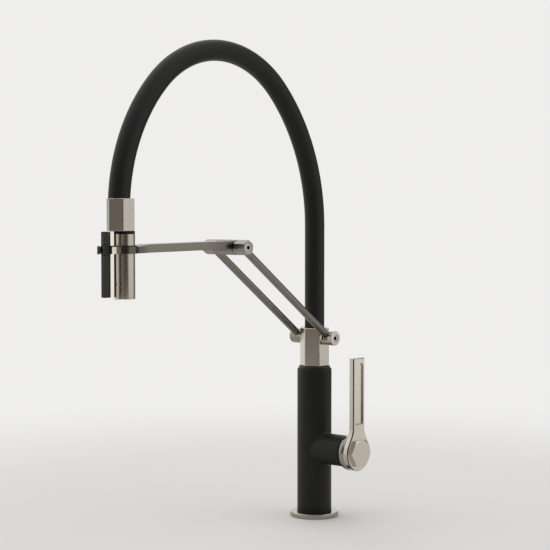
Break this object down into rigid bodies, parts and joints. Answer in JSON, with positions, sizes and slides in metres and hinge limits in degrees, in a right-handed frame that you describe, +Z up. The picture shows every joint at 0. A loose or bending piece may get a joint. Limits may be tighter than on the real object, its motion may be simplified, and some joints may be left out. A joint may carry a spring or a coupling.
{
  "type": "pull down kitchen faucet",
  "caption": "Single-hole kitchen faucet: black body with side lever, swivelling hexagon column, arched black hose, and a jointed arm whose ring docks a lift-out spray wand.",
  "frame": {"origin": "centre of the base on the deck", "axes": "+Z up, the spout reaches towards -Y, the lever is on the +X side"},
  "size_m": [0.1104, 0.3796, 0.5746],
  "materials": {
    "matte_black": "matte black powder coat",
    "nickel": "brushed nickel plate, warm grey",
    "screw_nickel": "turned and plated screw heads",
    "black_plastic": "moulded, fine satin grain",
    "seal_rubber": "moulded black rubber",
    "bearing_plastic": "black acetal",
    "ceramic": "ground alumina",
    "brass": "turned brass",
    "steel": "stainless steel",
    "hose_sleeve": "matte black silicone sleeve",
    "water_hose": "reinforced water hose"
  },
  "bodies": {
    "base": {"body_shell": "matte_black", "base_flange": "nickel", "deck_gasket": "seal_rubber", "upper_bush": "bearing_plastic", "lower_bush": "bearing_plastic", "swivel_washer": "bearing_plastic", "valve_cartridge": "bearing_plastic", "cartridge_nut": "brass"},
    "mixer": {"mixer_rotor": "ceramic", "tilt_pin": "steel"},
    "lever": {"lever_stem": "steel", "lever_handle": "nickel", "lever_cap": "nickel", "cap_screw": "steel"},
    "column": {"swivel_spindle": "brass", "spindle_seals": "seal_rubber", "retaining_clip": "steel", "column_post": "nickel", "shoulder_barrel_left": "nickel", "shoulder_barrel_right": "nickel", "shoulder_screws": "screw_nickel", "shoulder_washers": "bearing_plastic", "hose_sleeve": "hose_sleeve", "support_spring": "steel", "water_hose": "water_hose"},
    "links": {"link_rod_left": "nickel", "link_rod_right": "nickel", "elbow_barrel_left": "nickel", "elbow_barrel_right": "nickel", "elbow_pin": "steel", "elbow_screws": "screw_nickel", "elbow_washers": "bearing_plastic"},
    "arm": {"support_arm": "nickel", "dock_liner": "black_plastic"},
    "wand": {"wand_tube": "nickel", "spine_plate": "nickel", "paddle_bracket": "black_plastic", "paddle_pin": "steel", "spray_face": "black_plastic", "swivel_seal": "seal_rubber", "hose_nut": "nickel", "hose_fitting": "brass"},
    "paddle": {"spray_paddle": "black_plastic"},
    "diverter": {"diverter_pusher": "brass"}
  },
  "joints": [
    {"name": "column_swivel", "type": "hinge", "parent": "base", "child": "column", "pos_m": [0, 0, 0.186], "axis": [0, 0, 1], "range_deg": [-120, 120]},
    {"name": "shoulder_pitch", "type": "hinge", "parent": "column", "child": "links", "pos_m": [0, 0, 0.2226], "axis": [1, 0, 0], "range_deg": [-15, 15], "deforming": ["hose_sleeve", "support_spring", "water_hose"]},
    {"name": "elbow_pitch", "type": "hinge", "parent": "links", "child": "arm", "pos_m": [0, -0.1536, 0.3366], "axis": [1, 0, 0], "range_deg": [-15, 15], "deforming": ["hose_sleeve", "support_spring", "water_hose"]},
    {"name": "wand_lift", "type": "slide", "parent": "arm", "child": "wand", "axis": [0, 0, 1], "range_m": [0, 0.06], "deforming": ["hose_sleeve", "support_spring", "water_hose"]},
    {"name": "paddle_rock", "type": "hinge", "parent": "wand", "child": "paddle", "pos_m": [0, -0.3392, 0.337], "axis": [-1, 0, 0], "range_deg": [0, 3], "stiffness_Nm_per_rad": 0.5},
    {"name": "diverter_slide", "type": "slide", "parent": "wand", "child": "diverter", "axis": [0, -1, 0], "range_m": [0, 0.0021]},
    {"name": "mixer_turn", "type": "hinge", "parent": "base", "child": "mixer", "pos_m": [0.04, 0, 0.0855], "axis": [1, 0, 0], "range_deg": [-45, 45]},
    {"name": "lever_tilt", "type": "hinge", "parent": "mixer", "child": "lever", "pos_m": [0.04, 0, 0.0855], "axis": [0, 1, 0], "range_deg": [0, 15]}
  ],
  "couplings": [
    {"joint": "diverter_slide", "follows": "paddle_rock", "m_per_rad": 0.037}
  ]
}
